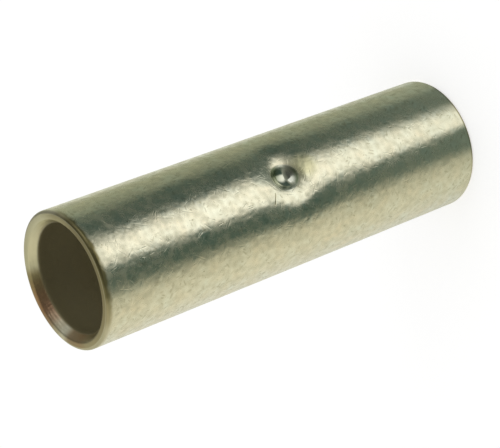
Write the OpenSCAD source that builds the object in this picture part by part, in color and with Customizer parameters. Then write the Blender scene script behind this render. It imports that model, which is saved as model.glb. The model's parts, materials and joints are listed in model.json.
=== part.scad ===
// Compression splice: a tinned copper tube that joins two stranded conductors end to end.
// The tube stands on one end face, with its axis along +Z and the punched stop facing -Y.

/* [Tube] */
// Diameter of the bore that takes the stranded conductors
bore_d = 15; // [6:0.5:30]
// Thickness of the tube wall
wall = 2; // [1.6:0.1:4]
// Length of the tube from end face to end face
tube_length = 65; // [30:1:140]

/* [Ends] */
// Radius that is rounded onto the outer edge of each end
outer_round = 0.45; // [0.1:0.05:0.6]
// Width of the lead-in chamfer across the end face of each mouth
mouth_chamfer_width = 0.85; // [0.2:0.05:1]
// Depth of the lead-in chamfer along the bore
mouth_chamfer_depth = 1.2; // [0.3:0.1:3]

/* [Conductor stop] */
// Depth of the punched dimple below the outer surface of the tube
dimple_depth = 1.8; // [1.6:0.05:2]
// Radius of the punch nose that leaves the bowl of the dimple
punch_nose_r = 2.3; // [1.6:0.1:4]
// Radius of the rolled rim between the bowl and the dish
dimple_rim_r = 0.8; // [0.2:0.1:1.5]
// Depth of the shallow dish that the punch draws in round the dimple
dish_depth = 1.2; // [0.5:0.05:1.4]
// Run of the dish along the tube, to each side of the dimple
dish_run = 5.5; // [5:0.5:10]
// Radius that the dish adds to the tube's own, so that the wall is flatter across the tube
dish_flattening = 40; // [10:5:80]
// Height that the stop stands proud into the bore
stop_height = 1.1; // [0.4:0.1:2]
// Narrowing of the bore all round, where the punch draws the wall in
waist_depth = 0.12; // [0.05:0.01:0.3]
// Run of the narrowed stretch past each side of the stop
waist_run = 1.75; // [0.5:0.25:5]

/* [Hidden] */
$fn = 96;

// Facets of the long shallow arcs of the dish and the waist, which are far larger than the tube
shallow_facets = 900;
// Overrun of the cutting shapes past the surfaces that they cut
overrun = 1;
// Radius of the dish's shoulder arc against that of an arc that dies out level at the dish's end
shoulder_ease = 1.5;

bore_r = bore_d / 2;
tube_r = bore_r + wall;
stop_z = tube_length / 2;

// The stop is the bowl's own sphere grown by the metal left under the bowl
metal_under_bowl = wall + stop_height - dimple_depth;
stop_r = punch_nose_r + metal_under_bowl;
stop_half_length = sqrt(2 * stop_r * stop_height - pow(stop_height, 2));
// Height of the punch nose's centre above the outer surface
nose_height = punch_nose_r - dimple_depth;

// The dish's shoulder arc runs from its depth at the punch up to the outer surface at its end
dish_chord = sqrt(pow(dish_run, 2) + pow(dish_depth, 2));
dish_arc_r = shoulder_ease * pow(dish_chord, 2) / (2 * dish_depth);
chord_height = sqrt(pow(dish_arc_r, 2) - pow(dish_chord / 2, 2));
// Centre of that arc: along the tube from the punch, and below the outer surface
dish_arc_along = dish_run / 2 + chord_height * dish_depth / dish_chord;
dish_arc_below = dish_depth / 2 + chord_height * dish_run / dish_chord;
dish_across_r = tube_r + dish_flattening;

// The rim arc is tangent to the bowl, and level where the dish is a rim's radius past the punch nose
rim_level = dish_arc_below - sqrt(pow(dish_arc_r, 2) - pow(dish_arc_along - punch_nose_r - dimple_rim_r, 2));
nose_over_rim = nose_height + rim_level;
rim_centre = sqrt(pow(punch_nose_r + dimple_rim_r, 2) - pow(nose_over_rim + dimple_rim_r, 2));
rim_join_depth = punch_nose_r * (nose_over_rim + dimple_rim_r) / (punch_nose_r + dimple_rim_r) - nose_height;

waist_half_length = stop_half_length + waist_run;
waist_arc_r = (pow(waist_half_length, 2) + pow(waist_depth, 2)) / (2 * waist_depth);

// Section of the wall with a quarter round on the outer corner of each end
module wall_section() {
    translate([bore_r, 0])
        square([wall - outer_round, tube_length]);
    translate([bore_r, outer_round])
        square([wall, tube_length - 2 * outer_round]);
    for (z = [outer_round, tube_length - outer_round])
        translate([tube_r - outer_round, z])
            circle(outer_round);
}

// Shallow arc on the bore side of the wall, level with the stop
module waist_section() {
    intersection() {
        translate([bore_r - waist_depth + waist_arc_r, stop_z])
            circle(waist_arc_r, $fn = shallow_facets);
        translate([bore_r - waist_depth, stop_z - waist_half_length])
            square([waist_depth + wall / 2, 2 * waist_half_length]);
    }
}

// Corner that the lead-in chamfer takes off the mouth at z = 0
module mouth_chamfer_section() {
    slope = mouth_chamfer_depth / mouth_chamfer_width;
    polygon([
        [bore_r - overrun, -overrun],
        [bore_r + mouth_chamfer_width + overrun / slope, -overrun],
        [bore_r - overrun, mouth_chamfer_depth + overrun * slope]
    ]);
}

// Tube turned about its axis, chamfered alike at both mouths
module turned_tube() {
    rotate_extrude()
        difference() {
            union() {
                wall_section();
                waist_section();
            }
            mouth_chamfer_section();
            translate([0, tube_length])
                mirror([0, 1])
                    mouth_chamfer_section();
        }
}

// Places its children on the outer surface at the stop, with their +Z pointing out of the tube
module on_stop() {
    translate([0, -tube_r, stop_z])
        rotate([90, 0, 0])
            children();
}

// Bump that the punch pushes into the bore, cut off inside the wall
module stop_bump() {
    intersection() {
        on_stop()
            translate([0, 0, nose_height])
                sphere(stop_r);
        translate([0, 0, stop_z - waist_half_length])
            cylinder(r = bore_r + wall / 2, h = 2 * waist_half_length);
    }
}

// Void of the dimple: a round bowl that flares out through the rolled rim
module dimple_void() {
    rotate_extrude() {
        intersection() {
            translate([0, nose_height])
                circle(punch_nose_r);
            translate([0, -dimple_depth])
                square([punch_nose_r, dimple_depth - rim_join_depth]);
        }
        difference() {
            translate([0, -rim_join_depth])
                square([rim_centre, rim_join_depth + overrun]);
            translate([rim_centre, -rim_level - dimple_rim_r])
                circle(dimple_rim_r);
        }
    }
}

// Ring that cuts the dish: its axis is behind the tube's own, and its inside is shaped like a waist
module dish_void() {
    translate([0, dish_flattening, stop_z])
        rotate_extrude()
            difference() {
                translate([dish_across_r - dish_depth, -dish_arc_along])
                    square([dish_depth + overrun, 2 * dish_arc_along]);
                for (side = [-1, 1])
                    translate([dish_across_r - dish_arc_below, side * dish_arc_along])
                        circle(dish_arc_r, $fn = shallow_facets);
            }
}

// The whole splice: the tube with the punched stop at mid-length
module splice_tube() {
    color([0.80, 0.79, 0.71])
        difference() {
            union() {
                turned_tube();
                stop_bump();
            }
            dish_void();
            on_stop()
                dimple_void();
        }
}

splice_tube();
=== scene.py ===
"""Looks of a tinned copper compression splice, laid out as an add-on and run as a script."""

import json
import math
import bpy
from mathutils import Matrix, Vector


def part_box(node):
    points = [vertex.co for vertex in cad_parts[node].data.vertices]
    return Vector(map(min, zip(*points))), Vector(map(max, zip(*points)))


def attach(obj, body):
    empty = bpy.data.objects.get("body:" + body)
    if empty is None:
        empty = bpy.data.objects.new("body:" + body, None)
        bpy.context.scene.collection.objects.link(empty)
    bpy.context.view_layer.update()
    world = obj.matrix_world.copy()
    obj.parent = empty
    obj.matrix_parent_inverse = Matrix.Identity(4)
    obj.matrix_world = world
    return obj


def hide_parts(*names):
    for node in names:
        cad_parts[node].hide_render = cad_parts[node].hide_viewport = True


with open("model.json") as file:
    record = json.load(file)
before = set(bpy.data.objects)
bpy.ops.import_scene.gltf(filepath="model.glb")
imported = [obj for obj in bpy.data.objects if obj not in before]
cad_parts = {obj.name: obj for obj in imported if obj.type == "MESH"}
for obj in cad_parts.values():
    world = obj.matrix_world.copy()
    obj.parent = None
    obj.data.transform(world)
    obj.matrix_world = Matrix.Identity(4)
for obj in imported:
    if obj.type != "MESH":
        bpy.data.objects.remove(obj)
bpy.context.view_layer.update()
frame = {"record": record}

from types import SimpleNamespace

import bmesh
import bpy
from mathutils import Quaternion, Vector

bl_info = {
    "name": "Compression splice",
    "version": (1, 0, 0),
    "blender": (4, 5, 0),
    "location": "View3D > Sidebar > Splice",
    "description": "Models a tinned copper compression splice and the stage it stands on",
    "category": "Object",
}

MM = 0.001
MICROMETRE = MM / 1000
NODE = "splice_tube"
BODY = "root"
PIECE = "tinned_tube"


def mount_dims(name):
    """Dimensions of one of the part's mounts, in millimetres."""
    return next(m["dims"] for m in frame["record"]["mounts"] if m["name"] == name)


def linear(hex_colour):
    """Linear RGB of an sRGB hex colour."""
    channels = [int(hex_colour[i:i + 2], 16) / 255 for i in (0, 2, 4)]
    return tuple(c / 12.92 if c <= 0.04045 else ((c + 0.055) / 1.055) ** 2.4 for c in channels)


LOW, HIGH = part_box(NODE)
TUBE_R = (HIGH.x - LOW.x) / 2
LENGTH = HIGH.z - LOW.z
BORE_R = mount_dims("upper_bore")["r_mm"] * MM
WALL_MIDDLE_R = (BORE_R + TUBE_R) / 2
STOP_Z = LENGTH / 2
TUBE_MIDDLE = Vector((0, 0, STOP_Z))


class SpliceSizes(bpy.types.PropertyGroup):
    """Sizes of the tube's ends and of its punched stop."""

    outer_round: bpy.props.FloatProperty(
        name="Outer round", description="Radius on the outer edge of each end",
        default=0.45 * MM, unit="LENGTH")
    chamfer_width: bpy.props.FloatProperty(
        name="Chamfer width", description="Width of the lead-in chamfer across the end face",
        default=0.85 * MM, unit="LENGTH")
    chamfer_depth: bpy.props.FloatProperty(
        name="Chamfer depth", description="Depth of the lead-in chamfer along the bore",
        default=1.2 * MM, unit="LENGTH")
    edge_ease: bpy.props.FloatProperty(
        name="Edge ease", description="Width of the worn edges of the chamfer",
        default=0.24 * MM, unit="LENGTH")
    dimple_depth: bpy.props.FloatProperty(
        name="Dimple depth", description="Depth of the punched bowl below the outer surface",
        default=1.8 * MM, unit="LENGTH")
    punch_nose_r: bpy.props.FloatProperty(
        name="Punch nose", description="Radius of the punch nose that leaves the bowl",
        default=2.3 * MM, unit="LENGTH")
    rim_roll: bpy.props.FloatProperty(
        name="Rim roll", description="Depth over which the rim of the bowl is rolled over",
        default=0.4 * MM, unit="LENGTH")
    dish_depth: bpy.props.FloatProperty(
        name="Dish depth", description="Depth that the dish round the bowl comes to at its middle",
        default=1.68 * MM, unit="LENGTH")
    dish_spread: bpy.props.FloatProperty(
        name="Dish spread", description="Distance across the tube over which the dish dies away",
        default=5.0 * MM, unit="LENGTH")
    stop_height: bpy.props.FloatProperty(
        name="Stop height", description="Height that the stop stands proud into the bore",
        default=1.1 * MM, unit="LENGTH")
    waist_depth: bpy.props.FloatProperty(
        name="Waist depth", description="Narrowing of the bore all round at the stop",
        default=0.12 * MM, unit="LENGTH")


class SpliceFinish(bpy.types.PropertyGroup):
    """Colours of the tin, of what shows where it is thin, of the dirt on it, of the painted shade on the
    bowl's rim and beside the dimple, and of the painted light deep in the bore.
    """

    tin: bpy.props.FloatVectorProperty(
        name="Tin", description="Satin tin on the outside of the tube",
        default=linear("F5F7E6"), subtype="COLOR")
    rosy_tin: bpy.props.FloatVectorProperty(
        name="Rosy tin", description="Thinner tin, warmed by the copper under it",
        default=linear("F9F1D8"), subtype="COLOR")
    dull_tin: bpy.props.FloatVectorProperty(
        name="Dull tin", description="Tin in the duller blotches",
        default=linear("E5E2CC"), subtype="COLOR")
    pit: bpy.props.FloatVectorProperty(
        name="Pits", description="Dirt in the small pits of the tin",
        default=linear("A69F80"), subtype="COLOR")
    # Painted light: the bore goes from this darker film near the mouths to the lighter tone deep inside,
    # which evens out the shade that falls deeper in the bore
    bore: bpy.props.FloatVectorProperty(
        name="Bore", description="Dull film in the bore near the mouths",
        default=linear("8E8666"), subtype="COLOR")
    bore_light: bpy.props.FloatVectorProperty(
        name="Deep bore", description="Cleaner tin deep in the bore",
        default=linear("D0C8A4"), subtype="COLOR")
    bowl: bpy.props.FloatVectorProperty(
        name="Bowl", description="Tin that the punch burnished thin",
        default=linear("DEE0D2"), subtype="COLOR")
    stain: bpy.props.FloatVectorProperty(
        name="Stain", description="Ochre stain beside the dimple",
        default=linear("E0DCB8"), subtype="COLOR")
    # Painted shade: the tin a little darker and greyer on the near-end side of the dimple
    dimple_shade: bpy.props.FloatVectorProperty(
        name="Smudge", description="Grey smudge on the other side of the dimple",
        default=linear("DEE0CE"), subtype="COLOR")
    # Painted shade: darker olive tin on one side of the bowl's rim and in the crease on its other side
    bowl_shade: bpy.props.FloatVectorProperty(
        name="Grime", description="Dirt on two sides of the bowl",
        default=linear("7C876C"), subtype="COLOR")


class StageSettings(bpy.types.PropertyGroup):
    """Where the camera stands."""

    view_azimuth: bpy.props.FloatProperty(
        name="Azimuth", description="Turn of the camera round the tube, from the side of the dimple",
        default=math.radians(-17.0), subtype="ANGLE")
    view_elevation: bpy.props.FloatProperty(
        name="Elevation", description="Height of the camera above the horizon",
        default=math.radians(34.4), subtype="ANGLE")
    view_roll: bpy.props.FloatProperty(
        name="Roll", description="Turn of the camera about its line of sight",
        default=math.radians(-111.02), subtype="ANGLE")
    view_distance: bpy.props.FloatProperty(
        name="Distance", description="Distance from the camera to the point it aims at",
        default=265 * MM, unit="LENGTH")
    aim: bpy.props.FloatVectorProperty(
        name="Aim", description="Point that the camera looks at, from the middle of the tube",
        default=(-1.3 * MM, 1.55 * MM, 1.54 * MM), subtype="TRANSLATION")
    lens: bpy.props.FloatProperty(
        name="Lens", description="Focal length in millimetres on a 36 mm wide sensor", default=138.4)


def deselect():
    """Nothing selected, in object mode."""
    if bpy.context.object and bpy.context.object.mode != "OBJECT":
        bpy.ops.object.mode_set(mode="OBJECT")
    bpy.ops.object.select_all(action="DESELECT")


def select_in_edit(piece, kind, test):
    """Selects the verts, edges or faces of a piece in edit mode whose middle passes the test."""
    bpy.ops.mesh.select_mode(type=kind)
    bpy.ops.mesh.select_all(action="DESELECT")
    mesh = bmesh.from_edit_mesh(piece.data)
    if kind == "VERT":
        for vert in mesh.verts:
            vert.select_set(test(vert.co))
    elif kind == "EDGE":
        for edge in mesh.edges:
            edge.select_set(test((edge.verts[0].co + edge.verts[1].co) / 2))
    else:
        for face in mesh.faces:
            face.select_set(test(face.calc_center_median()))
    bmesh.update_edit_mesh(piece.data)


def near(a, b):
    """True where two lengths agree to a micrometre."""
    return abs(a - b) < MICROMETRE


# Shape of the tube

# Steps of the turn round the axis, and segments of the outer rounds and of the eased edges
TURN_STEPS = 192
ROUND_SEGMENTS = 8
EASE_SEGMENTS = 5
# Reach along the tube, to each side of the stop, that is divided into rows, and the height of a row
STOP_ZONE = 12 * MM
ROW_HEIGHT = 0.3 * MM
# Reach of the patch round the punch that is divided again, and the cuts there
PATCH_REACH = 3.4 * MM
PATCH_CUTS = 4
# The dish is shorter along the tube than across it, and ends at the rim of the bowl
DISH_ASPECT = 1.4
BOWL_RIM_R = 2.2 * MM
# Faces that meet at less than this angle are shaded as one surface
SMOOTH_ANGLE = math.radians(25)


def wall_section(sizes):
    """The wall on one side of the axis: a loop of edges with chamfers, rounds and eased corners."""
    deselect()
    bpy.ops.mesh.primitive_plane_add(
        size=1, location=(WALL_MIDDLE_R, 0, STOP_Z), rotation=(math.pi / 2, 0, 0))
    piece = bpy.context.object
    piece.name = PIECE
    piece.data.name = PIECE
    piece.scale = (TUBE_R - BORE_R, LENGTH, 1)
    bpy.ops.object.transform_apply(location=True, rotation=True, scale=True)
    bpy.ops.object.mode_set(mode="EDIT")
    mouth_r = BORE_R + sizes.chamfer_width
    for end_z, outwards in ((0, -1), (LENGTH, 1)):
        inwards = Vector((-sizes.chamfer_depth, 0, outwards * sizes.chamfer_width))
        bpy.ops.mesh.select_all(action="SELECT")
        bpy.ops.mesh.bisect(
            plane_co=(mouth_r, 0, end_z), plane_no=inwards.normalized(),
            clear_outer=True, threshold=MICROMETRE)
    select_in_edit(piece, "VERT", lambda co: near(co.x, TUBE_R))
    bpy.ops.mesh.bevel(offset=sizes.outer_round, segments=ROUND_SEGMENTS, affect="VERTICES")
    select_in_edit(piece, "VERT", lambda co: near(co.x, mouth_r) or near(co.x, BORE_R))
    bpy.ops.mesh.bevel(offset=sizes.edge_ease, segments=EASE_SEGMENTS, affect="VERTICES")
    bpy.ops.mesh.select_all(action="SELECT")
    bpy.ops.mesh.delete(type="ONLY_FACE")
    for z in (STOP_Z - STOP_ZONE, STOP_Z + STOP_ZONE):
        bpy.ops.mesh.select_all(action="SELECT")
        bpy.ops.mesh.bisect(plane_co=(0, 0, z), plane_no=(0, 0, 1), threshold=MICROMETRE)
    select_in_edit(piece, "EDGE", lambda co: near(co.z, STOP_Z))
    bpy.ops.mesh.subdivide(number_cuts=round(2 * STOP_ZONE / ROW_HEIGHT))
    return piece


def turn_section():
    """Turns the section in edit mode once round the axis and closes the seam."""
    bpy.ops.mesh.select_all(action="SELECT")
    bpy.ops.mesh.spin(
        steps=TURN_STEPS, angle=2 * math.pi, center=(0, 0, 0), axis=(0, 0, 1))
    bpy.ops.mesh.select_all(action="SELECT")
    bpy.ops.mesh.remove_doubles(threshold=MICROMETRE)
    bpy.ops.mesh.normals_make_consistent(inside=False)


def refine_stop(piece):
    """Divides the wall finely where the punch works on it."""
    def at_punch(co):
        return co.y < 0 and abs(co.x) < PATCH_REACH and abs(co.z - STOP_Z) < PATCH_REACH

    select_in_edit(piece, "FACE", at_punch)
    bpy.ops.mesh.subdivide(number_cuts=PATCH_CUTS, smoothness=0)


def smooth_max(a, b, blend):
    """The greater of two heights, with the corner between them rounded over the blend."""
    return max(a, b) + max(blend - abs(a - b), 0) ** 2 / (4 * blend)


def press_stop(piece, sizes):
    """Presses the stop: the dimple and its dish outside, the bump and the narrowed bore inside."""
    nose_y = -(TUBE_R + sizes.punch_nose_r - sizes.dimple_depth)
    stop_r = sizes.punch_nose_r + TUBE_R - BORE_R + sizes.stop_height - sizes.dimple_depth
    for vertex in piece.data.vertices:
        co = vertex.co
        along = co.z - STOP_Z
        if abs(along) > STOP_ZONE:
            continue
        outside = co.xy.length > WALL_MIDDLE_R
        turned_r = TUBE_R if outside else BORE_R
        co.xy *= turned_r / co.xy.length
        drawn_in = 0
        if outside and co.y < 0:
            arc = TUBE_R * math.asin(co.x / turned_r)
            from_middle = max(math.hypot(arc, DISH_ASPECT * along), BOWL_RIM_R)
            drawn_in = sizes.dish_depth * math.erfc(from_middle / sizes.dish_spread)
        if not outside:
            drawn_in += sizes.waist_depth * math.cos(along / STOP_ZONE * math.pi / 2) ** 2
        co.xy *= 1 - drawn_in / turned_r
        from_punch = math.hypot(co.x, along)
        nose_r = sizes.punch_nose_r if outside else stop_r
        if co.y < 0 and from_punch < nose_r:
            pressed = nose_y + math.sqrt(nose_r ** 2 - from_punch ** 2)
            co.y = smooth_max(co.y, pressed, sizes.rim_roll)


class SPLICE_OT_tube(bpy.types.Operator):
    """Models the tinned copper tube with its chamfered mouths and punched stop"""

    bl_idname = "splice.tube"
    bl_label = "Tinned tube"

    def execute(self, context):
        sizes = context.scene.splice_sizes
        piece = wall_section(sizes)
        turn_section()
        refine_stop(piece)
        bpy.ops.object.mode_set(mode="OBJECT")
        press_stop(piece, sizes)
        bpy.ops.object.shade_smooth_by_angle(angle=SMOOTH_ANGLE)
        piece.data.materials.append(tinned_copper(context.scene.splice_finish))
        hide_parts(NODE)
        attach(piece, BODY)
        return {"FINISHED"}


# Materials


def add_node(tree, kind, links=(), **settings):
    """Adds a node with its settings, and links (socket, source) pairs into it.

    A setting that starts with in_ fills the input socket of that name or number. Sockets that share a
    name go by number: 2 and 3 are the two values of a Mix node, 6 and 7 its two colours, and 1 to 4 the
    ends of the two ranges of a Map Range node."""
    node = tree.nodes.new(kind)
    for name, value in settings.items():
        if name.startswith("in_"):
            key = name[3:]
            node.inputs[int(key) if key.isdigit() else key].default_value = value
        else:
            setattr(node, name, value)
    for socket, source in links:
        output = source.outputs[0] if isinstance(source, bpy.types.Node) else source
        tree.links.new(output, node.inputs[socket])
    return node


def new_material(name):
    """An empty material, its node tree and its output node."""
    material = bpy.data.materials.new(name)
    material.use_nodes = True
    tree = material.node_tree
    tree.nodes.clear()
    return material, tree, tree.nodes.new("ShaderNodeOutputMaterial")


def set_tones(ramp, tones):
    """Gives a colour ramp node its (angle, hex colour) tones, eased from one to the next.

    The ramp runs from the first angle to the last."""
    elements = ramp.color_ramp.elements
    ramp.color_ramp.interpolation = "EASE"
    while len(elements) < len(tones):
        elements.new(1)
    first, last = tones[0][0], tones[-1][0]
    for element, (angle, hex_colour) in zip(elements, tones):
        element.position = (angle - first) / (last - first)
        element.color = (*linear(hex_colour), 1)


def per(size):
    """Texture scale that gives one cell of a size in metres."""
    return 1 / size


# Cell of each noise in the tin, and how many finer layers it has
NOISES = {
    "clouds": (2.3 * MM, 1),
    "blotches": (0.8 * MM, 0),
    "swells": (1.1 * MM, 1),
    "grain": (0.42 * MM, 2),
}
# Values of a noise at which the tin begins to turn rosy, dull or pitted, and at which it has turned
ROSY_CLOUDS = (0.25, 0.75)
DULL_BLOTCHES = (0.3, 0.85)
PITTED_GRAIN = (0.66, 0.86)
# The same for the dirty flecks, which gather between the clouds, and the most that they show
FLECKED_CLOUDS = (0.65, 0.4)
FLECK_SHARE = 0.4
# Cell, half width and half length of each layer of hair scratches. Real ones are a few hundredths of
# a millimetre wide, and these are drawn coarser so that they show
SCRATCHES = (
    (3.4 * MM, 0.12 * MM, 1.7 * MM),
    (2.7 * MM, 0.11 * MM, 1.3 * MM),
    (2.1 * MM, 0.1 * MM, 1.0 * MM),
    (1.6 * MM, 0.09 * MM, 0.8 * MM),
    (1.2 * MM, 0.08 * MM, 0.6 * MM),
)
# The same of each layer of dirty flecks
FLECKS = (
    (1.7 * MM, 0.2 * MM, 0.65 * MM),
    (1.3 * MM, 0.17 * MM, 0.5 * MM),
    (0.95 * MM, 0.15 * MM, 0.36 * MM),
)
# Share of its half length past which a scratch or a fleck fades
LINE_CORE = 0.4
# Feed of the turning lines on the chamfers. Real ones are about a tenth of a millimetre apart, and
# these are drawn coarser so that they show
TURNING_FEED = 0.36 * MM
# Short tool mark beside the dimple: its middle, the direction across it, its half width, its half
# length and the share of that past which it fades
MARK_AT = (-2.55 * MM, -9.15 * MM, 35.85 * MM)
MARK_ACROSS = Vector((0.49, 0, 0.87)).normalized()
MARK_HALF_WIDTH = 0.14 * MM
MARK_HALF_LENGTH = 1.05 * MM
MARK_CORE = 0.7
# Heights of the relief, in micrometres, and the share of it that the punch leaves in the bowl
SWELL_HEIGHT = 46
GRAIN_HEIGHT = 5
TURNING_HEIGHT = 7
SCRATCH_DEPTH = 7.5
MARK_DEPTH = 16
BOWL_RELIEF = 0.15
# Middle and reach of the stain beside the dimple, of the painted shade on its other side, of the painted
# shade on one side of the bowl's rim and of the painted shade in the crease on the rim's other side
STAINS = {
    "stained": ((0.6 * MM, -9.4 * MM, 29.0 * MM), 2.7 * MM),
    "smudged": ((1.1 * MM, -9.4 * MM, 36.0 * MM), 2.2 * MM),
    "grimed": ((1.35 * MM, -8.4 * MM, 33.85 * MM), 2.2 * MM),
    "creased": ((-0.45 * MM, -8.3 * MM, 30.25 * MM), 2.6 * MM),
}
# Share of its reach within which a stain or a painted shade is full
STAIN_CORE = 0.3
# Distances from the line of the punch at which the painted shade in the crease of the rim begins and is
# full
CREASE_SHADE_RING = (1.45 * MM, 1.95 * MM)
# Where each zone of the finish begins and where it is full, by the radius
BORE_ZONE = (BORE_R + 0.2 * MM, BORE_R + 0.02 * MM)
FACE_ZONE = (TUBE_R - 0.3 * MM, TUBE_R - 0.5 * MM)
EDGE_ZONE = (TUBE_R - 0.45 * MM, TUBE_R - 0.25 * MM)
# The same by the distance from the nearer end, and from the top for the worn edge there
MOUTH_ZONE = (1.4 * MM, 1.2 * MM)
FOOT_ZONE = (0.6 * MM, 0.3 * MM)
DEEP_BORE_ZONE = (2 * MM, 11 * MM)
TOP_ZONE = (1.35 * MM, 0.7 * MM)
# The same by the distance from the line of the punch, and by the distance towards -Y, because the
# line also meets the wall behind, which has no dimple
BOWL_ZONE = (2.4 * MM, 2.0 * MM)
DISH_ZONE = (4.4 * MM, 2.0 * MM)
DIMPLE_SIDE = (BORE_R - 0.6 * MM, BORE_R - 0.4 * MM)
# How far the blotches make the worn edge at the top ragged
TOP_RAGGED = 0.6 * MM
# What a distance from the line of the punch counts for across the tube, against one along it
ACROSS_COUNTS = 1.1
# Roughness of the satin tin, over the range that the blotches and the clouds add up to
SATIN_NOISE = (0.4, 1.6)
SATIN_ROUGHNESS = (0.12, 0.37)
# Roughness of the bowl, from the burnished bottom to the rim, over distances from the line of the punch
BURNISHED_RING = (1.2 * MM, 1.9 * MM)
BURNISHED_ROUGHNESS = (0.1, 0.42)
# Roughness where the tin is rubbed, where the punch drew it in and under the film in the bore
RUBBED_ROUGHNESS = 0.38
DRAWN_ROUGHNESS = 0.2
BORE_ROUGHNESS = 0.5
# The film in the bore hides some of the metal's gloss
BORE_METALLIC = 0.6
# Tones of the end ring and the chamfer, by the azimuth from the side of the dimple: copper shows through
# on the side away from the dimple, and the tones also hold a painted highlight at about -150 and painted
# shade round -180 that tones down the softbox's glint there
MOUTH_WEAR_AND_HIGHLIGHTS = (
    (-180, "C09A7A"),
    (-168, "C4AA8E"),
    (-156, "E4DCC2"),
    (-148, "FCF8E4"),
    (-138, "C6B294"),
    (-124, "C9B290"),
    (-108, "D0C6A4"),
    (-62, "BCB290"),
    (-30, "AAA17E"),
    (15, "A89F80"),
    (45, "CEC7A6"),
    (75, "F6F3DA"),
    (138, "F3EFD2"),
    (148, "C0B48C"),
    (156, "BEA880"),
    (168, "D0AA84"),
    (180, "C09A7A"),
)
# Tones of the round on the outer edge of the ends, likewise: copper shows through, and the dark tones
# from -38 to 28, on the side towards the camera, are also painted shade that tones down the softbox's
# glint
EDGE_WEAR_AND_SHADE = (
    (-180, "F5F1DA"),
    (-74, "E2DCC2"),
    (-60, "C4BC9C"),
    (-50, "BCB492"),
    (-38, "8E8866"),
    (0, "938A62"),
    (28, "7E7858"),
    (42, "C0BA9C"),
    (54, "F5F1DA"),
    (180, "F5F1DA"),
)


def short_line(tree, offset, away, half_width, half_length, core):
    """A short straight line: 1 along it, and 0 beside it and past its ends.

    offset is the distance across the line and away the distance from its middle, and the line fades
    from the core, as a share of its half length, to its ends."""
    beside = add_node(tree, "ShaderNodeMath", [(0, offset)], operation="ABSOLUTE")
    line = add_node(
        tree, "ShaderNodeMapRange", [(0, beside)],
        interpolation_type="SMOOTHSTEP", in_1=half_width, in_2=0)
    fade = add_node(
        tree, "ShaderNodeMapRange", [(0, away)],
        interpolation_type="SMOOTHSTEP", in_1=half_length, in_2=core * half_length)
    return add_node(tree, "ShaderNodeMath", [(0, line), (1, fade)], operation="MULTIPLY")


def tool_mark(tree, place):
    """The short straight tool mark beside the dimple, which runs across the tube."""
    from_middle = add_node(
        tree, "ShaderNodeVectorMath", [(0, place)], operation="SUBTRACT", in_1=MARK_AT)
    offset = add_node(
        tree, "ShaderNodeVectorMath", [(0, from_middle)], operation="DOT_PRODUCT", in_1=MARK_ACROSS)
    away = add_node(tree, "ShaderNodeVectorMath", [(0, from_middle)], operation="LENGTH")
    return short_line(
        tree, offset.outputs["Value"], away.outputs["Value"],
        MARK_HALF_WIDTH, MARK_HALF_LENGTH, MARK_CORE)


def random_lines(tree, place, cell, half_width, half_length):
    """Short straight lines, one at a random angle in each cell."""
    cells = add_node(tree, "ShaderNodeTexVoronoi", [("Vector", place)], in_Scale=per(cell))
    # The cell's random colour, taken from its middle value, gives the direction across the line
    lean = add_node(
        tree, "ShaderNodeVectorMath", [(0, cells.outputs["Color"])],
        operation="SUBTRACT", in_1=(0.5, 0.5, 0.5))
    across = add_node(tree, "ShaderNodeVectorMath", [(0, lean)], operation="NORMALIZE")
    from_middle = add_node(
        tree, "ShaderNodeVectorMath", [(0, place), (1, cells.outputs["Position"])], operation="SUBTRACT")
    offset = add_node(
        tree, "ShaderNodeVectorMath", [(0, from_middle), (1, across)], operation="DOT_PRODUCT")
    # The distance from a cell's middle is given in cells
    return short_line(
        tree, offset.outputs["Value"], cells.outputs["Distance"],
        half_width, half_length / cell, LINE_CORE)


def spots_on_tube(tree):
    """Sockets that say where on the tube a point is."""
    place = add_node(tree, "ShaderNodeTexCoord").outputs["Object"]
    axes = add_node(tree, "ShaderNodeSeparateXYZ", [(0, place)])
    flat = add_node(tree, "ShaderNodeVectorMath", [(0, place)], operation="MULTIPLY", in_1=(1, 1, 0))
    radius = add_node(tree, "ShaderNodeVectorMath", [(0, flat)], operation="LENGTH")
    front = add_node(tree, "ShaderNodeMath", [(0, axes.outputs["Y"])], operation="MULTIPLY", in_1=-1)
    turn = add_node(
        tree, "ShaderNodeMath", [(0, axes.outputs["X"]), (1, front)], operation="ARCTAN2")
    from_top = add_node(
        tree, "ShaderNodeMath", [(1, axes.outputs["Z"])], operation="SUBTRACT", in_0=LENGTH)
    from_end = add_node(
        tree, "ShaderNodeMath", [(0, axes.outputs["Z"]), (1, from_top)], operation="MINIMUM")
    punch = add_node(
        tree, "ShaderNodeVectorMath", [(0, place)], operation="SUBTRACT", in_1=TUBE_MIDDLE)
    beside_punch = add_node(
        tree, "ShaderNodeVectorMath", [(0, punch)], operation="MULTIPLY", in_1=(ACROSS_COUNTS, 0, 1))
    from_punch = add_node(tree, "ShaderNodeVectorMath", [(0, beside_punch)], operation="LENGTH")
    return SimpleNamespace(
        place=place, radius=radius.outputs["Value"], front=front, from_top=from_top, from_end=from_end,
        round_axis=add_node(tree, "ShaderNodeMapRange", [(0, turn)], in_1=-math.pi, in_2=math.pi),
        from_punch=from_punch.outputs["Value"])


def tin_pattern(tree, place):
    """Noises, hair scratches, dirty flecks and the tool mark of barrel-plated tin."""
    pattern = SimpleNamespace(marked=tool_mark(tree, place))
    for name, (cell, finer_layers) in NOISES.items():
        noise = add_node(
            tree, "ShaderNodeTexNoise", [("Vector", place)], in_Scale=per(cell), in_Detail=finer_layers)
        setattr(pattern, name, noise)
    for name, layers in (("scratched", SCRATCHES), ("flecked", FLECKS)):
        lines = random_lines(tree, place, *layers[0])
        for sizes in layers[1:]:
            lines = add_node(
                tree, "ShaderNodeMath", [(0, lines), (1, random_lines(tree, place, *sizes))],
                operation="MAXIMUM")
        setattr(pattern, name, lines)
    return pattern


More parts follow.
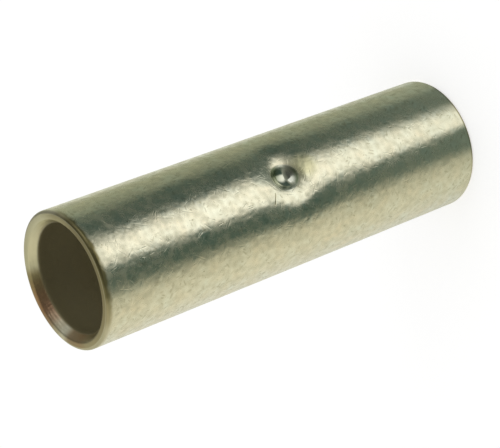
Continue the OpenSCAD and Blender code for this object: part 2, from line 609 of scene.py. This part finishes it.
def zones_of_finish(tree, spots, pattern):
    """Masks of the bore, the bowl and its dish, the mouths, the outer edges, the stain, and the painted
    shade beside the dimple and on the bowl's rim.
    """
    ragged = add_node(
        tree, "ShaderNodeMath", [(0, pattern.blotches), (2, spots.from_top)],
        operation="MULTIPLY_ADD", in_1=TOP_RAGGED)
    spans = [
        ("in_bore", spots.radius, BORE_ZONE),
        ("on_face", spots.radius, FACE_ZONE),
        ("near_outside", spots.radius, EDGE_ZONE),
        ("near_end", spots.from_end, MOUTH_ZONE),
        ("at_foot", spots.from_end, FOOT_ZONE),
        ("at_top", ragged, TOP_ZONE),
        ("near_punch", spots.from_punch, BOWL_ZONE),
        ("round_punch", spots.from_punch, DISH_ZONE),
    ]
    for name, (middle, reach) in STAINS.items():
        away = add_node(
            tree, "ShaderNodeVectorMath", [(0, spots.place)], operation="DISTANCE", in_1=middle)
        spans.append((name, away.outputs["Value"], (reach, STAIN_CORE * reach)))
    masks = {}
    for name, distance, (begins, full) in spans:
        masks[name] = add_node(
            tree, "ShaderNodeMapRange", [(0, distance)],
            interpolation_type="SMOOTHSTEP", in_1=begins, in_2=full)
    masks["dimple_side"] = add_node(
        tree, "ShaderNodeMapRange", [(0, spots.front)], in_1=DIMPLE_SIDE[0], in_2=DIMPLE_SIDE[1])
    for name, first, operation, second in (
            ("in_bowl", "near_punch", "MULTIPLY", "dimple_side"),
            ("drawn_in", "round_punch", "MULTIPLY", "dimple_side"),
            ("at_mouth", "on_face", "MULTIPLY", "near_end"),
            ("at_end", "at_top", "MAXIMUM", "at_foot"),
            ("on_edge", "near_outside", "MULTIPLY", "at_end")):
        masks[name] = add_node(
            tree, "ShaderNodeMath", [(0, masks[first]), (1, masks[second])], operation=operation)
    return SimpleNamespace(**masks)


def bore_colour(tree, finish, spots):
    """Colour of the bore: a dull film near the mouths that goes lighter deep inside, which is painted
    light that evens out the shade deeper in the bore.
    """
    deep = add_node(
        tree, "ShaderNodeMapRange", [(0, spots.from_end)],
        in_1=DEEP_BORE_ZONE[0], in_2=DEEP_BORE_ZONE[1])
    return add_node(
        tree, "ShaderNodeMix", [(0, deep)], data_type="RGBA",
        in_6=(*finish.bore, 1), in_7=(*finish.bore_light, 1)).outputs[2]


def bowl_colour(tree, finish, spots, zones):
    """Colour of the bowl: burnished tin, with painted shade on one side of its rim and in the crease of
    the rim on the other.
    """
    rim = add_node(
        tree, "ShaderNodeMapRange", [(0, spots.from_punch)],
        in_1=CREASE_SHADE_RING[0], in_2=CREASE_SHADE_RING[1])
    crease = add_node(
        tree, "ShaderNodeMath", [(0, zones.creased), (1, rim)], operation="MULTIPLY")
    # Painted shade on the bowl's rim, on one side and in the crease on the other
    dirty = add_node(tree, "ShaderNodeMath", [(0, zones.grimed), (1, crease)], operation="MAXIMUM")
    return add_node(
        tree, "ShaderNodeMix", [(0, dirty)], data_type="RGBA",
        in_6=(*finish.bowl, 1), in_7=(*finish.bowl_shade, 1)).outputs[2]


def tin_colour(tree, finish, spots, zones, pattern):
    """Colour of the tin, with its blotches and pits, and of the worn and dull zones, with painted
    highlights and shade on the mouths and outer edges, painted shade on the bowl's rim and beside the
    dimple, and painted light deep in the bore.
    """
    turned = {}
    for name, noise, (begins, full) in (
            ("rosy", pattern.clouds, ROSY_CLOUDS),
            ("dull", pattern.blotches, DULL_BLOTCHES),
            ("pitted", pattern.grain, PITTED_GRAIN)):
        turned[name] = add_node(tree, "ShaderNodeMapRange", [(0, noise)], in_1=begins, in_2=full)
    gathered = add_node(
        tree, "ShaderNodeMapRange", [(0, pattern.clouds)],
        in_1=FLECKED_CLOUDS[0], in_2=FLECKED_CLOUDS[1], in_4=FLECK_SHARE)
    flecked = add_node(
        tree, "ShaderNodeMath", [(0, pattern.flecked), (1, gathered)], operation="MULTIPLY")
    colour = add_node(
        tree, "ShaderNodeMix", [(0, turned["rosy"])], data_type="RGBA",
        in_6=(*finish.tin, 1), in_7=(*finish.rosy_tin, 1)).outputs[2]
    for mask, tone in (
            (turned["dull"], finish.dull_tin),
            (turned["pitted"], finish.pit),
            (flecked, finish.pit),
            (zones.stained, finish.stain),
            # painted shade on the near-end side of the dimple
            (zones.smudged, finish.dimple_shade),
            (pattern.marked, finish.pit)):
        colour = add_node(
            tree, "ShaderNodeMix", [(0, mask), (6, colour)], data_type="RGBA",
            in_7=(*tone, 1)).outputs[2]
    # Worn tones with their painted highlights and shade, on the mouths and the outer edges
    worn = {}
    for name, tones in (("mouth", MOUTH_WEAR_AND_HIGHLIGHTS), ("edge", EDGE_WEAR_AND_SHADE)):
        worn[name] = add_node(tree, "ShaderNodeValToRGB", [(0, spots.round_axis)])
        set_tones(worn[name], tones)
    for mask, other in (
            (zones.at_mouth, worn["mouth"]),
            (zones.on_edge, worn["edge"]),
            (zones.in_bore, bore_colour(tree, finish, spots)),
            (zones.in_bowl, bowl_colour(tree, finish, spots, zones))):
        colour = add_node(
            tree, "ShaderNodeMix", [(0, mask), (6, colour), (7, other)], data_type="RGBA").outputs[2]
    return colour


def tin_roughness(tree, spots, zones, pattern):
    """Roughness of the satin tin and of the zones where it is rubbed, drawn in, burnished or filmed."""
    uneven = add_node(
        tree, "ShaderNodeMath", [(0, pattern.blotches), (1, pattern.clouds)], operation="ADD")
    satin = add_node(
        tree, "ShaderNodeMapRange", [(0, uneven)],
        in_1=SATIN_NOISE[0], in_2=SATIN_NOISE[1],
        in_3=SATIN_ROUGHNESS[0], in_4=SATIN_ROUGHNESS[1])
    rubbed = add_node(
        tree, "ShaderNodeMath", [(0, zones.at_mouth), (1, zones.on_edge)], operation="MAXIMUM")
    worn = add_node(tree, "ShaderNodeMix", [(0, rubbed), (2, satin)], in_3=RUBBED_ROUGHNESS)
    drawn = add_node(tree, "ShaderNodeMix", [(0, zones.drawn_in), (2, worn)], in_3=DRAWN_ROUGHNESS)
    punched = add_node(
        tree, "ShaderNodeMapRange", [(0, spots.from_punch)],
        in_1=BURNISHED_RING[0], in_2=BURNISHED_RING[1],
        in_3=BURNISHED_ROUGHNESS[0], in_4=BURNISHED_ROUGHNESS[1])
    burnished = add_node(tree, "ShaderNodeMix", [(0, zones.in_bowl), (2, drawn), (3, punched)])
    return add_node(tree, "ShaderNodeMix", [(0, zones.in_bore), (2, burnished)], in_3=BORE_ROUGHNESS)


def tin_relief(tree, spots, zones, pattern):
    """Bump of swells, grain, turning lines, scratches and the tool mark, nearly gone in the bowl."""
    turns = add_node(
        tree, "ShaderNodeMath", [(0, spots.from_end)],
        operation="MULTIPLY", in_1=2 * math.pi / TURNING_FEED)
    ripple = add_node(tree, "ShaderNodeMath", [(0, turns)], operation="SINE")
    broken = add_node(tree, "ShaderNodeMath", [(0, ripple), (1, pattern.blotches)], operation="MULTIPLY")
    turned = add_node(tree, "ShaderNodeMath", [(0, broken), (1, zones.at_mouth)], operation="MULTIPLY")
    relief = None
    for height, layer in (
            (SWELL_HEIGHT, pattern.swells),
            (GRAIN_HEIGHT, pattern.grain),
            (TURNING_HEIGHT, turned),
            (-SCRATCH_DEPTH, pattern.scratched),
            (-MARK_DEPTH, pattern.marked)):
        links = [(0, layer)] if relief is None else [(0, layer), (2, relief)]
        relief = add_node(tree, "ShaderNodeMath", links, operation="MULTIPLY_ADD", in_1=height)
    level = add_node(
        tree, "ShaderNodeMapRange", [(0, zones.in_bowl)], in_3=1.0, in_4=BOWL_RELIEF)
    return add_node(
        tree, "ShaderNodeBump", [("Height", relief), ("Strength", level)], in_Distance=MICROMETRE)


def tinned_copper(finish):
    """Electro-tinned copper from the plating barrel.

    The eye gets a warm white satin metal with blotches, small dirty pits and hair scratches, a burnished
    bowl with painted shade on its rim, painted shade beside the dimple, a dull bore with painted light
    deep inside, and brown mouths where copper shows through the tin, with painted highlights and shade
    on them and on the outer edges."""
    material, tree, output = new_material("tinned_copper_satin")
    spots = spots_on_tube(tree)
    pattern = tin_pattern(tree, spots.place)
    zones = zones_of_finish(tree, spots, pattern)
    metallic = add_node(
        tree, "ShaderNodeMapRange", [(0, zones.in_bore)], in_3=1.0, in_4=BORE_METALLIC)
    shader = add_node(tree, "ShaderNodeBsdfPrincipled", [
        ("Base Color", tin_colour(tree, finish, spots, zones, pattern)),
        ("Roughness", tin_roughness(tree, spots, zones, pattern)),
        ("Metallic", metallic),
        ("Normal", tin_relief(tree, spots, zones, pattern))])
    tree.links.new(shader.outputs[0], output.inputs[0])
    return material


# Stage

# The paper floor: its side in metres, its colour, and how far it is lifted to white where it is seen
FLOOR_SIZE = 4.0
PAPER = "D2D2D2"
PAPER_LIFT = 0.6
# Strength of the world as light on things, and where it is seen
WORLD_LIGHT = 0.8
WORLD_SEEN = 1.0
# The softbox: its direction from the tube, its distance, width and height in metres, and its watts
LAMP_AZIMUTH = math.radians(41)
LAMP_ELEVATION = math.radians(22)
LAMP_DISTANCE = 0.35
LAMP_WIDTH = 0.2
LAMP_HEIGHT = 0.27
LAMP_WATTS = 0.135
# Width of the camera's sensor in millimetres
SENSOR_WIDTH = 36
# The cards: their glow, the steps along their tones, and the height of each above what it lies on
CARD_GLOW = 1.07
CARD_STEPS = 96
CARD_HEIGHT = 0.1 * MM
# The tent's radius and height, in metres
TENT_R = 0.5
TENT_HEIGHT = 0.5
# The floor card: its rows, how far it reaches from the wall, its twist, and the reach that has none
CARD_ROWS = 9
CARD_REACH = 210 * MM
CARD_TWIST = math.radians(2.0)
CARD_LEVEL = 80 * MM
# Its light tone: the turn of its middle, how far to its sides it is drawn in, the reach where it
# isn't, and the most that it is drawn in
LIGHT_TURN = math.radians(9.3)
LIGHT_SPREAD = math.radians(18)
LIGHT_REACH = 50 * MM
LIGHT_SQUEEZE = 0.3
# Tones of the floor card, by the turn round the wall from the camera's side that mirrors them
FLOOR_TONES = (
    (-90, "DADAD0"),
    (-76, "D6D5CA"),
    (-45, "D2CFBC"),
    (-30.5, "BFBCA8"),
    (-16.5, "42524A"),
    (-5, "42524A"),
    (3.2, "FFFEF5"),
    (14.8, "FFFEF5"),
    (29.2, "424F49"),
    (41.5, "46534C"),
    (53, "858B7A"),
    (66, "999D87"),
    (78, "D0D2C4"),
    (90, "F0F0E8"),
)
# Tones of the tent, by the azimuth from the side of the dimple
TENT_TONES = (
    (-180, "B2B09E"),
    (-145, "B2B09E"),
    (-120, "C8C4B0"),
    (-80, "C8C4B0"),
    (-60, "8A887A"),
    (-38, "626258"),
    (-24, "4E504C"),
    (20, "4E504C"),
    (52, "5A5C56"),
    (66, "74746C"),
    (80, "A6A69C"),
    (97, "707068"),
    (140, "6A6A62"),
    (160, "B2B09E"),
    (180, "B2B09E"),
)
# Share of the haze on each card, where along its rows it starts and ends to fade, and its tone
FLOOR_HAZE = (0.3, 0, 0.52, "9CA599")
TENT_HAZE = (0.55, 0.3, 0.47, "AEB1A4")


def toned_card(name, tones, haze):
    """Glowing card that stands in for a lit matt card: the eye gets soft changes of tone along its U
    direction, and haze towards V = 0.

    haze gives its share, the V where it starts and ends to fade, and its tone."""
    material, tree, output = new_material(name)
    place = add_node(tree, "ShaderNodeTexCoord").outputs["UV"]
    along = add_node(tree, "ShaderNodeSeparateXYZ", [(0, place)])
    ramp = add_node(tree, "ShaderNodeValToRGB", [(0, along)])
    set_tones(ramp, tones)
    share, start, end, haze_tone = haze
    hazy = add_node(
        tree, "ShaderNodeMapRange", [(0, along.outputs["Y"])], in_1=start, in_2=end, in_3=share, in_4=0)
    tone = add_node(
        tree, "ShaderNodeMix", [(0, hazy), (6, ramp)], data_type="RGBA",
        in_7=(*linear(haze_tone), 1))
    glow = add_node(tree, "ShaderNodeEmission", [("Color", tone.outputs[2])], in_Strength=CARD_GLOW)
    tree.links.new(glow.outputs[0], output.inputs[0])
    return material


def seen_directly(tree):
    """1 for camera, glossy and transmission rays, and 0 for the light that falls on things."""
    path = add_node(tree, "ShaderNodeLightPath")
    both = add_node(
        tree, "ShaderNodeMath", [(0, path.outputs["Is Camera Ray"]), (1, path.outputs["Is Glossy Ray"])],
        operation="MAXIMUM")
    return add_node(
        tree, "ShaderNodeMath", [(0, both), (1, path.outputs["Is Transmission Ray"])],
        operation="MAXIMUM")


def floor_paper():
    """Plain white paper: the eye gets the tube's soft shadow on it, and white past that."""
    material, tree, output = new_material("white_paper")
    paper = add_node(tree, "ShaderNodeBsdfDiffuse", in_Color=(*linear(PAPER), 1))
    seen = seen_directly(tree)
    place = add_node(tree, "ShaderNodeTexCoord").outputs["Object"]
    reach = add_node(tree, "ShaderNodeVectorMath", [(0, place)], operation="LENGTH").outputs["Value"]
    # Inside the tube the paper isn't lifted, so that the bore stays dark
    clear = add_node(tree, "ShaderNodeMapRange", [(0, reach)], in_1=BORE_R, in_2=TUBE_R)
    lift = add_node(tree, "ShaderNodeMath", [(0, seen), (1, clear)], operation="MULTIPLY")
    level = add_node(tree, "ShaderNodeMath", [(0, lift)], operation="MULTIPLY", in_1=PAPER_LIFT)
    glow = add_node(tree, "ShaderNodeEmission", [("Strength", level)])
    both = add_node(tree, "ShaderNodeAddShader", [(0, paper), (1, glow)])
    tree.links.new(both.outputs[0], output.inputs[0])
    return material


def round_tube(angle, reach):
    """Point at a reach from the axis, at an angle from the -Y side towards +X."""
    return Vector((reach * math.sin(angle), -reach * math.cos(angle), 0))


def direction(azimuth, elevation):
    """Unit vector at an azimuth from the -Y side towards +X and an elevation above the horizon."""
    return round_tube(azimuth, math.cos(elevation)) + Vector((0, 0, math.sin(elevation)))


def add_card(name, rows, place, tones, haze):
    """A sheet of toned card that only reflections see.

    place gives the point for an angle and a row, and the angles run as those of the tones do."""
    deselect()
    bpy.ops.mesh.primitive_grid_add(x_subdivisions=CARD_STEPS, y_subdivisions=rows - 1, size=1)
    card = bpy.context.object
    card.name = name
    first, last = tones[0][0], tones[-1][0]
    for vertex in card.data.vertices:
        angle = math.radians(first + (last - first) * (vertex.co.x + 0.5))
        vertex.co = place(angle, round((vertex.co.y + 0.5) * (rows - 1)))
    card.data.materials.append(toned_card(name, tones, haze))
    card.visible_camera = False
    card.visible_shadow = False
    card.visible_diffuse = False


def add_floor_card(azimuth):
    """The card that the wall mirrors: it fans out so that each turn of the wall mirrors one tone.

    It is laid with a slight twist, so that the tones lean over towards the foot of the tube, and the
    light tone is drawn in towards both ends of the tube."""
    def place(turn, row):
        reach = CARD_REACH * (row / (CARD_ROWS - 1)) ** 2
        beside = turn - LIGHT_TURN
        squeeze = LIGHT_SQUEEZE * min((reach / LIGHT_REACH - 1) ** 2, 1)
        turn -= squeeze * beside * math.exp(-(beside / LIGHT_SPREAD) ** 2)
        turn += CARD_TWIST * (1 - reach / CARD_LEVEL)
        foot = round_tube(azimuth + turn, TUBE_R)
        return foot + round_tube(azimuth + 2 * turn, reach) + Vector((0, 0, 2 * CARD_HEIGHT))

    add_card("floor_card", CARD_ROWS, place, FLOOR_TONES, FLOOR_HAZE)


def add_tent():
    """A tent of card round the tube, from the floor up to a roof."""
    profile = (
        (CARD_REACH, CARD_HEIGHT), (TENT_R, CARD_HEIGHT), (TENT_R, TENT_HEIGHT), (0, TENT_HEIGHT))

    def place(angle, row):
        reach, height = profile[row]
        return round_tube(angle, reach) + Vector((0, 0, height))

    add_card("tent", len(profile), place, TENT_TONES, TENT_HAZE)


def add_floor():
    """The white paper that the tube stands on."""
    deselect()
    bpy.ops.mesh.primitive_plane_add(size=FLOOR_SIZE)
    floor = bpy.context.object
    floor.name = "floor"
    floor.data.materials.append(floor_paper())


def add_lamp():
    """A softbox that looks at the middle of the tube."""
    lamp = bpy.data.lights.new("strip_softbox", "AREA")
    lamp.shape = "RECTANGLE"
    lamp.size = LAMP_WIDTH
    lamp.size_y = LAMP_HEIGHT
    lamp.energy = LAMP_WATTS
    holder = bpy.data.objects.new("strip_softbox", lamp)
    bpy.context.scene.collection.objects.link(holder)
    back = direction(LAMP_AZIMUTH, LAMP_ELEVATION)
    holder.location = TUBE_MIDDLE + back * LAMP_DISTANCE
    holder.rotation_euler = back.to_track_quat("Z", "Y").to_euler()


def add_world():
    """Plain even light, seen as white."""
    world = bpy.data.worlds.new("studio")
    bpy.context.scene.world = world
    world.use_nodes = True
    tree = world.node_tree
    tree.nodes.clear()
    seen = seen_directly(tree)
    level = add_node(tree, "ShaderNodeMapRange", [(0, seen)], in_3=WORLD_LIGHT, in_4=WORLD_SEEN)
    light = add_node(tree, "ShaderNodeBackground", [("Strength", level)])
    output = tree.nodes.new("ShaderNodeOutputWorld")
    tree.links.new(light.outputs[0], output.inputs[0])


def add_camera(settings):
    """The camera of the photograph's view, turned about its line of sight."""
    back = direction(settings.view_azimuth, settings.view_elevation)
    camera = bpy.data.objects.new("camera", bpy.data.cameras.new("camera"))
    bpy.context.scene.collection.objects.link(camera)
    camera.data.lens = settings.lens
    camera.data.sensor_width = SENSOR_WIDTH
    camera.data.clip_start = MM
    camera.location = TUBE_MIDDLE + Vector(settings.aim) + back * settings.view_distance
    camera.rotation_mode = "QUATERNION"
    level = (-back).to_track_quat("-Z", "Y")
    camera.rotation_quaternion = level @ Quaternion((0, 0, 1), settings.view_roll)
    bpy.context.scene.camera = camera


class SPLICE_OT_stage(bpy.types.Operator):
    """Sets up the floor, the cards, the lamp, the world and the camera"""

    bl_idname = "splice.stage"
    bl_label = "Stage"

    def execute(self, context):
        settings = context.scene.splice_stage
        add_floor()
        add_floor_card(settings.view_azimuth)
        add_tent()
        add_lamp()
        add_world()
        add_camera(settings)
        context.scene.view_settings.view_transform = "Standard"
        return {"FINISHED"}


class SPLICE_PT_panel(bpy.types.Panel):
    """Lists the sizes, the colours, the view and the operators of the splice"""

    bl_idname = "SPLICE_PT_panel"
    bl_label = "Compression splice"
    bl_space_type = "VIEW_3D"
    bl_region_type = "UI"
    bl_category = "Splice"

    def draw(self, context):
        scene = context.scene
        for group in (scene.splice_sizes, scene.splice_finish, scene.splice_stage):
            for name in group.__annotations__:
                self.layout.prop(group, name)
        for operator in (SPLICE_OT_tube, SPLICE_OT_stage):
            self.layout.operator(operator.bl_idname)


CLASSES = (SpliceSizes, SpliceFinish, StageSettings, SPLICE_OT_tube, SPLICE_OT_stage, SPLICE_PT_panel)


def register():
    """Registers the classes and hangs the settings on the scene."""
    for cls in CLASSES:
        bpy.utils.register_class(cls)
    bpy.types.Scene.splice_sizes = bpy.props.PointerProperty(type=SpliceSizes)
    bpy.types.Scene.splice_finish = bpy.props.PointerProperty(type=SpliceFinish)
    bpy.types.Scene.splice_stage = bpy.props.PointerProperty(type=StageSettings)


def unregister():
    """Takes the settings and the classes away again."""
    del bpy.types.Scene.splice_stage
    del bpy.types.Scene.splice_finish
    del bpy.types.Scene.splice_sizes
    for cls in reversed(CLASSES):
        bpy.utils.unregister_class(cls)


def main():
    register()
    bpy.ops.splice.tube()
    bpy.ops.splice.stage()


if __name__ == "__main__":
    main()
